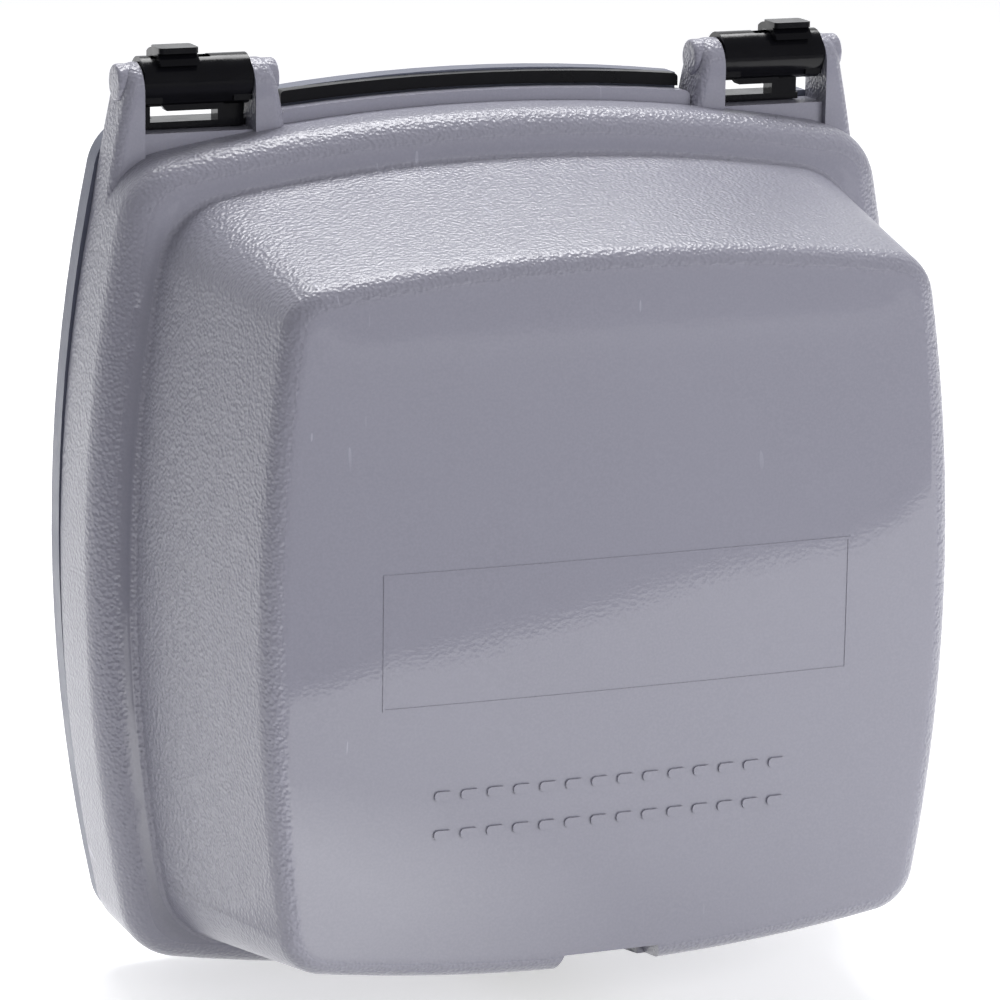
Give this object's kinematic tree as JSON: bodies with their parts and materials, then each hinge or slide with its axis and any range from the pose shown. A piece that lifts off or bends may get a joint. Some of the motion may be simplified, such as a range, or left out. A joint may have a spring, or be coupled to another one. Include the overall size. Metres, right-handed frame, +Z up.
{
  "type": "gfci outlet",
  "caption": "Ground-fault receptacle behind a two-gang weatherproof in-use cover with a deep grey lid hinged at the top on black clips.",
  "frame": {"origin": "centre of the pair of gangs, on the wall plane (the base's back face)", "axes": "+X right, +Y into the wall, +Z up; the lid faces -Y"},
  "size_m": [0.161, 0.1097, 0.1727],
  "materials": {
    "cover_grey": "moulded leather texture, semi-gloss",
    "base_grey": "moulded, darker grey",
    "hinge_black": "glossy black moulding",
    "seal_black": "black seal",
    "gasket_foam": "closed-cell foam",
    "insert_grey": "moulded",
    "screw_steel": "zinc plated",
    "strap_steel": "zinc plated strap",
    "device_white": "polished face",
    "device_body": "moulded body",
    "button_black": "button",
    "button_red": "button",
    "shutter_plastic": "low-friction moulding",
    "spring_steel": "spring wire",
    "contact_brass": "stamped brass",
    "board_green": "solder mask",
    "ferrite": "coated core",
    "copper_wire": "enamelled copper",
    "magnet_steel": "soft iron",
    "bobbin_plastic": "bobbin nylon",
    "brass_screw": "terminal screw",
    "silver_screw": "nickel-plated terminal screw",
    "green_screw": "green ground screw",
    "lens_green": "light pipe",
    "disc_blue": "epoxy coating",
    "capacitor_sleeve": "sleeve",
    "chip_black": "chip package"
  },
  "bodies": {
    "base": {"assembly_screws": "screw_steel", "base_frame": "base_grey", "blank_insert": "insert_grey", "capacitor": "capacitor_sleeve", "circuit_board": "board_green", "clamp_plates": "strap_steel", "control_chip": "chip_black", "cover_mounting_screws": "screw_steel", "face_cover": "device_white", "gfci_insert": "insert_grey", "ground_contacts": "contact_brass", "ground_screw": "green_screw", "hinge_block_left": "hinge_black", "hinge_block_right": "hinge_black", "hot_contacts": "contact_brass", "hot_screws": "brass_screw", "indicator_led": "lens_green", "indicator_lens": "lens_green", "line_conductors": "copper_wire", "lower_shutter_spring": "spring_steel", "middle_housing": "device_body", "mounting_strap": "strap_steel", "neutral_contacts": "contact_brass", "neutral_screws": "silver_screw", "plunger_spring": "spring_steel", "rain_seal": "seal_black", "rear_body": "device_body", "reset_spring": "spring_steel", "sensing_toroids": "ferrite", "shutter_frames": "device_body", "solenoid_bobbin": "bobbin_plastic", "solenoid_frame": "magnet_steel", "solenoid_winding": "copper_wire", "surge_disc": "disc_blue", "terminal_plates": "contact_brass", "test_contact": "contact_brass", "test_spring": "spring_steel", "toroid_cup": "bobbin_plastic", "upper_shutter_spring": "spring_steel", "wall_gasket": "gasket_foam"},
    "lid": {"cover_lid": "cover_grey"},
    "release_slide_left": {"hinge_slide_left": "hinge_black"},
    "release_slide_right": {"hinge_slide_right": "hinge_black"},
    "test_button": {"test_button": "button_black"},
    "reset_button": {"reset_button": "button_red"},
    "upper_shutter": {"upper_shutter": "shutter_plastic"},
    "lower_shutter": {"lower_shutter": "shutter_plastic"},
    "plunger": {"solenoid_plunger": "magnet_steel"},
    "latch": {"latch_plate": "magnet_steel"},
    "carriage": {"contact_carriage": "bobbin_plastic", "moving_arms": "contact_brass"}
  },
  "joints": [
    {"name": "lid_hinge", "type": "hinge", "parent": "base", "child": "lid", "pos_m": [0, -0.0087, 0.0874], "axis": [-1, 0, 0], "range_deg": [0, 110]},
    {"name": "left_release_slide", "type": "slide", "parent": "base", "child": "release_slide_left", "axis": [1, 0, 0], "range_m": [0, 0.004]},
    {"name": "right_release_slide", "type": "slide", "parent": "base", "child": "release_slide_right", "axis": [-1, 0, 0], "range_m": [0, 0.004]},
    {"name": "test_press", "type": "slide", "parent": "base", "child": "test_button", "axis": [0, 1, 0], "range_m": [0, 0.0012], "deforming": ["test_spring"]},
    {"name": "reset_press", "type": "slide", "parent": "base", "child": "reset_button", "axis": [0, 1, 0], "range_m": [0, 0.002], "deforming": ["reset_spring"]},
    {"name": "upper_shutter_slide", "type": "slide", "parent": "base", "child": "upper_shutter", "axis": [1, 0, 0], "range_m": [0, 0.0032], "deforming": ["upper_shutter_spring"]},
    {"name": "lower_shutter_slide", "type": "slide", "parent": "base", "child": "lower_shutter", "axis": [1, 0, 0], "range_m": [0, 0.0032], "deforming": ["lower_shutter_spring"]},
    {"name": "plunger_slide", "type": "slide", "parent": "base", "child": "plunger", "axis": [0, 0, -1], "range_m": [0, 0.003], "deforming": ["plunger_spring"]},
    {"name": "carriage_slide", "type": "slide", "parent": "base", "child": "carriage", "axis": [0, 1, 0], "range_m": [0, 0.0018]},
    {"name": "latch_slide", "type": "slide", "parent": "carriage", "child": "latch", "axis": [0, 0, -1], "range_m": [0, 0.003]}
  ],
  "couplings": [
    {"joint": "latch_slide", "follows": "plunger_slide", "ratio": 1}
  ]
}
